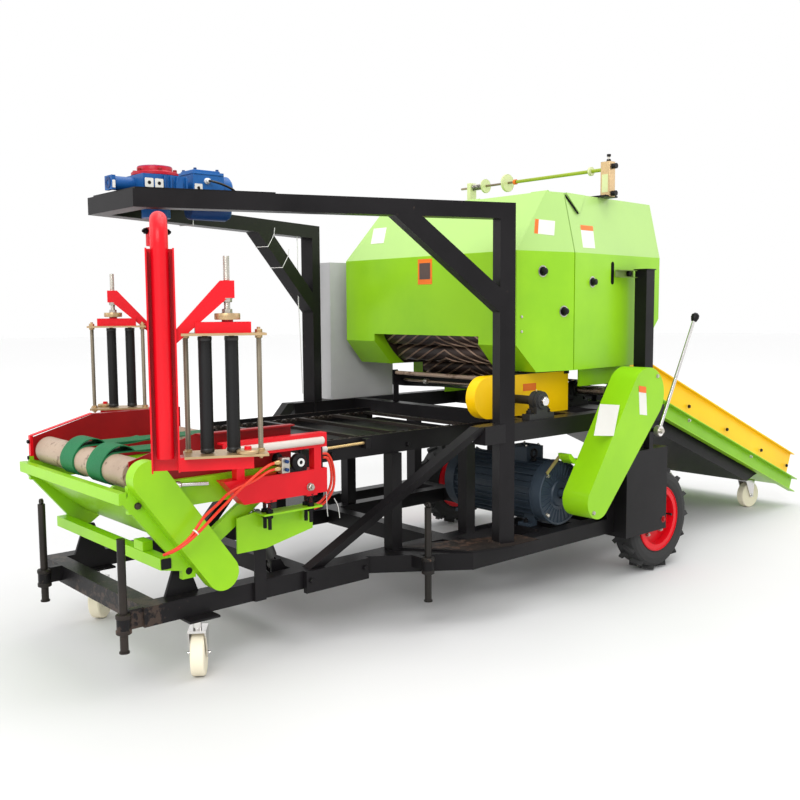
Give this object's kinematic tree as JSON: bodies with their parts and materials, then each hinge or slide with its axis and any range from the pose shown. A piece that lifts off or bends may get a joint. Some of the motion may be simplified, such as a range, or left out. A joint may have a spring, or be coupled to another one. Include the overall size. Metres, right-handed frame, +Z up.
{
  "type": "round baler",
  "caption": "Wheeled silage round baler with slat transfer conveyor, film wrapping arm over a tilting table, and inclined feed conveyor.",
  "frame": {"origin": "middle of the footprint on the ground, under the bounding box's centre", "axes": "+X from the wrapping table towards the feed conveyor, +Y to the cabinet's side, +Z up"},
  "size_m": [4.337, 1.6668, 1.878],
  "materials": {
    "black_paint": "semi-gloss black enamel, worn on the base rails",
    "lime_paint": "gloss lime green enamel",
    "yellow_paint": "gloss yellow enamel",
    "red_paint": "gloss red enamel",
    "blue_paint": "gloss blue machine paint",
    "motor_paint": "blue-grey motor enamel",
    "grey_paint": "light grey powder coat",
    "dark_steel": "oiled dark steel",
    "zinc": "yellowish zinc plate",
    "chrome": "bright chrome",
    "cast_grey": "grey cast bearing housings and shafts",
    "tyre_rubber": "black tractor tread rubber",
    "roller_rubber": "ribbed black rubber",
    "belt_green": "dark green conveyor belt",
    "belt_black": "black conveyor belt",
    "cream_nylon": "cream cast nylon",
    "cream_tube": "scuffed cream roller paint",
    "cylinder_grey": "grey cylinder paint"
  },
  "bodies": {
    "frame": {"arm_gearbox": "blue_paint", "belt_guard": "lime_paint", "cabinet": "grey_paint", "chain_guard": "yellow_paint", "chassis": "black_paint", "drive_shafts": "cast_grey", "feed_belly": "black_paint", "feed_belt": "belt_black", "feed_boards": "yellow_paint", "feed_trough": "lime_paint", "film_base": "lime_paint", "film_beam": "red_paint", "gantry": "black_paint", "mid_frame": "black_paint", "motor": "motor_paint", "rear_shell": "lime_paint", "slat_chain": "dark_steel", "slat_frame": "black_paint", "twine_tie": "zinc", "wheel_fender": "black_paint"},
    "wheel_near": {"tyre_near": "tyre_rubber", "rim_near": "red_paint"},
    "wheel_far": {"tyre_far": "tyre_rubber", "rim_far": "red_paint"},
    "caster_front_near": {"caster_front_near_fork": "chrome"},
    "caster_front_near_roll": {"caster_front_near_wheel": "cream_nylon"},
    "caster_front_far": {"caster_front_far_fork": "chrome"},
    "caster_front_far_roll": {"caster_front_far_wheel": "cream_nylon"},
    "caster_feed_near": {"caster_feed_near_fork": "chrome"},
    "caster_feed_near_roll": {"caster_feed_near_wheel": "cream_nylon"},
    "caster_feed_far": {"caster_feed_far_fork": "chrome"},
    "caster_feed_far_roll": {"caster_feed_far_wheel": "cream_nylon"},
    "jack_leg_front_far": {"jack_leg_front_far": "black_paint"},
    "jack_leg_front_near": {"jack_leg_front_near": "black_paint"},
    "jack_leg_side": {"jack_leg_side": "black_paint"},
    "bale_door": {"bale_door": "lime_paint"},
    "chamber_roller_a": {"chamber_roller_a": "dark_steel"},
    "chamber_roller_b": {"chamber_roller_b": "dark_steel"},
    "chamber_roller_c": {"chamber_roller_c": "dark_steel"},
    "chamber_roller_d": {"chamber_roller_d": "dark_steel"},
    "chamber_roller_e": {"chamber_roller_e": "dark_steel"},
    "clutch_lever": {"clutch_lever": "chrome"},
    "cabinet_door": {"cabinet_door": "grey_paint"},
    "wrap_arm": {"wrap_arm": "red_paint", "film_frames": "zinc", "film_discs": "zinc"},
    "film_roller_near_a": {"film_roller_near_a": "roller_rubber"},
    "film_roller_near_b": {"film_roller_near_b": "roller_rubber"},
    "film_roller_far_a": {"film_roller_far_a": "roller_rubber"},
    "film_roller_far_b": {"film_roller_far_b": "roller_rubber"},
    "wrap_table": {"table_frame": "lime_paint", "table_sides": "red_paint", "table_belts": "belt_green"},
    "table_roller_front": {"table_roller_front": "cream_tube"},
    "table_roller_rear": {"table_roller_rear": "cream_tube"},
    "tilt_cylinder": {"tilt_cylinder": "cylinder_grey"},
    "tilt_rod": {"tilt_rod": "chrome"}
  },
  "joints": [
    {"name": "wheel_near_spin", "type": "hinge", "parent": "frame", "child": "wheel_near", "pos_m": [0.3235, -0.65362, 0.2385], "axis": [0, 1, 0], "continuous": true},
    {"name": "wheel_far_spin", "type": "hinge", "parent": "frame", "child": "wheel_far", "pos_m": [0.3235, 0.65038, 0.2385], "axis": [0, 1, 0], "continuous": true},
    {"name": "caster_front_near_swivel", "type": "hinge", "parent": "frame", "child": "caster_front_near", "pos_m": [-1.90013, -0.41789, 0.214], "axis": [0, 0, 1], "continuous": true},
    {"name": "caster_front_near_spin", "type": "hinge", "parent": "caster_front_near", "child": "caster_front_near_roll", "pos_m": [-1.8825, -0.39362, 0.075], "axis": [-0.809, 0.5878, 0], "continuous": true},
    {"name": "caster_front_far_swivel", "type": "hinge", "parent": "frame", "child": "caster_front_far", "pos_m": [-1.89808, 0.37354, 0.214], "axis": [0, 0, 1], "continuous": true},
    {"name": "caster_front_far_spin", "type": "hinge", "parent": "caster_front_far", "child": "caster_front_far_roll", "pos_m": [-1.8765, 0.39438, 0.075], "axis": [-0.6947, 0.7193, 0], "continuous": true},
    {"name": "caster_feed_near_swivel", "type": "hinge", "parent": "frame", "child": "caster_feed_near", "pos_m": [1.87379, -0.28544, 0.207], "axis": [0, 0, 1], "continuous": true},
    {"name": "caster_feed_near_spin", "type": "hinge", "parent": "caster_feed_near", "child": "caster_feed_near_roll", "pos_m": [1.9035, -0.28962, 0.075], "axis": [0.1392, 0.9903, 0], "continuous": true},
    {"name": "caster_feed_far_swivel", "type": "hinge", "parent": "frame", "child": "caster_feed_far", "pos_m": [1.87361, 0.28377, 0.207], "axis": [0, 0, 1], "continuous": true},
    {"name": "caster_feed_far_spin", "type": "hinge", "parent": "caster_feed_far", "child": "caster_feed_far_roll", "pos_m": [1.9035, 0.28638, 0.075], "axis": [-0.0872, 0.9962, 0], "continuous": true},
    {"name": "jack_leg_front_far_slide", "type": "slide", "parent": "frame", "child": "jack_leg_front_far", "axis": [0, 0, 1], "range_m": [-0.15, 0]},
    {"name": "jack_leg_front_near_slide", "type": "slide", "parent": "frame", "child": "jack_leg_front_near", "axis": [0, 0, 1], "range_m": [-0.139, 0]},
    {"name": "jack_leg_side_slide", "type": "slide", "parent": "frame", "child": "jack_leg_side", "axis": [0, 0, 1], "range_m": [-0.113, 0]},
    {"name": "bale_door_swing", "type": "hinge", "parent": "frame", "child": "bale_door", "pos_m": [-0.1865, -0.00162, 1.7], "axis": [0, 1, 0], "range_deg": [0, 25]},
    {"name": "chamber_roller_a_spin", "type": "hinge", "parent": "bale_door", "child": "chamber_roller_a", "pos_m": [-0.43313, -0.00162, 1.17491], "axis": [0, 1, 0], "continuous": true},
    {"name": "chamber_roller_b_spin", "type": "hinge", "parent": "bale_door", "child": "chamber_roller_b", "pos_m": [-0.39084, -0.00162, 1.0821], "axis": [0, 1, 0], "continuous": true},
    {"name": "chamber_roller_c_spin", "type": "hinge", "parent": "bale_door", "child": "chamber_roller_c", "pos_m": [-0.32326, -0.00162, 1.00571], "axis": [0, 1, 0], "continuous": true},
    {"name": "chamber_roller_d_spin", "type": "hinge", "parent": "frame", "child": "chamber_roller_d", "pos_m": [-0.14952, -0.00162, 0.92836], "axis": [0, 1, 0], "continuous": true},
    {"name": "chamber_roller_e_spin", "type": "hinge", "parent": "frame", "child": "chamber_roller_e", "pos_m": [-0.05348, -0.00162, 0.92836], "axis": [0, 1, 0], "continuous": true},
    {"name": "clutch_lever_swing", "type": "hinge", "parent": "frame", "child": "clutch_lever", "pos_m": [0.2135, -0.76362, 0.66], "axis": [0, 1, 0], "range_deg": [-15, 15]},
    {"name": "cabinet_door_swing", "type": "hinge", "parent": "frame", "child": "cabinet_door", "pos_m": [-0.5595, 0.82438, 0.85], "axis": [0, 0, 1], "range_deg": [0, 100]},
    {"name": "wrap_arm_turn", "type": "hinge", "parent": "frame", "child": "wrap_arm", "pos_m": [-1.7895, -0.00162, 1.465], "axis": [0, 0, 1], "continuous": true},
    {"name": "film_roller_near_a_spin", "type": "hinge", "parent": "wrap_arm", "child": "film_roller_near_a", "pos_m": [-2.00683, -0.70138, 0.785], "axis": [0, 0, 1], "continuous": true},
    {"name": "film_roller_near_b_spin", "type": "hinge", "parent": "wrap_arm", "child": "film_roller_near_b", "pos_m": [-1.93887, -0.73541, 0.785], "axis": [0, 0, 1], "continuous": true},
    {"name": "film_roller_far_a_spin", "type": "hinge", "parent": "wrap_arm", "child": "film_roller_far_a", "pos_m": [-1.57218, 0.69814, 0.785], "axis": [0, 0, 1], "continuous": true},
    {"name": "film_roller_far_b_spin", "type": "hinge", "parent": "wrap_arm", "child": "film_roller_far_b", "pos_m": [-1.64013, 0.73217, 0.785], "axis": [0, 0, 1], "continuous": true},
    {"name": "wrap_table_tilt", "type": "hinge", "parent": "frame", "child": "wrap_table", "pos_m": [-1.9265, -0.00162, 0.366], "axis": [0, -1, 0], "range_deg": [0, 12]},
    {"name": "table_roller_front_spin", "type": "hinge", "parent": "wrap_table", "child": "table_roller_front", "pos_m": [-2.0665, -0.00162, 0.69], "axis": [0, 1, 0], "continuous": true},
    {"name": "table_roller_rear_spin", "type": "hinge", "parent": "wrap_table", "child": "table_roller_rear", "pos_m": [-1.5665, -0.00162, 0.69], "axis": [0, 1, 0], "continuous": true},
    {"name": "tilt_cylinder_swing", "type": "hinge", "parent": "frame", "child": "tilt_cylinder", "pos_m": [-1.5265, -0.30162, 0.29], "axis": [0, 1, 0], "range_deg": [-3.39, 0]},
    {"name": "tilt_rod_slide", "type": "slide", "parent": "tilt_cylinder", "child": "tilt_rod", "axis": [-0.3682, 0, 0.9297], "range_m": [0, 0.07181]}
  ],
  "couplings": [
    {"joint": "tilt_cylinder_swing", "follows": "wrap_table_tilt", "ratio": -0.26613},
    {"joint": "tilt_rod_slide", "follows": "wrap_table_tilt", "m_per_rad": 0.33808}
  ]
}
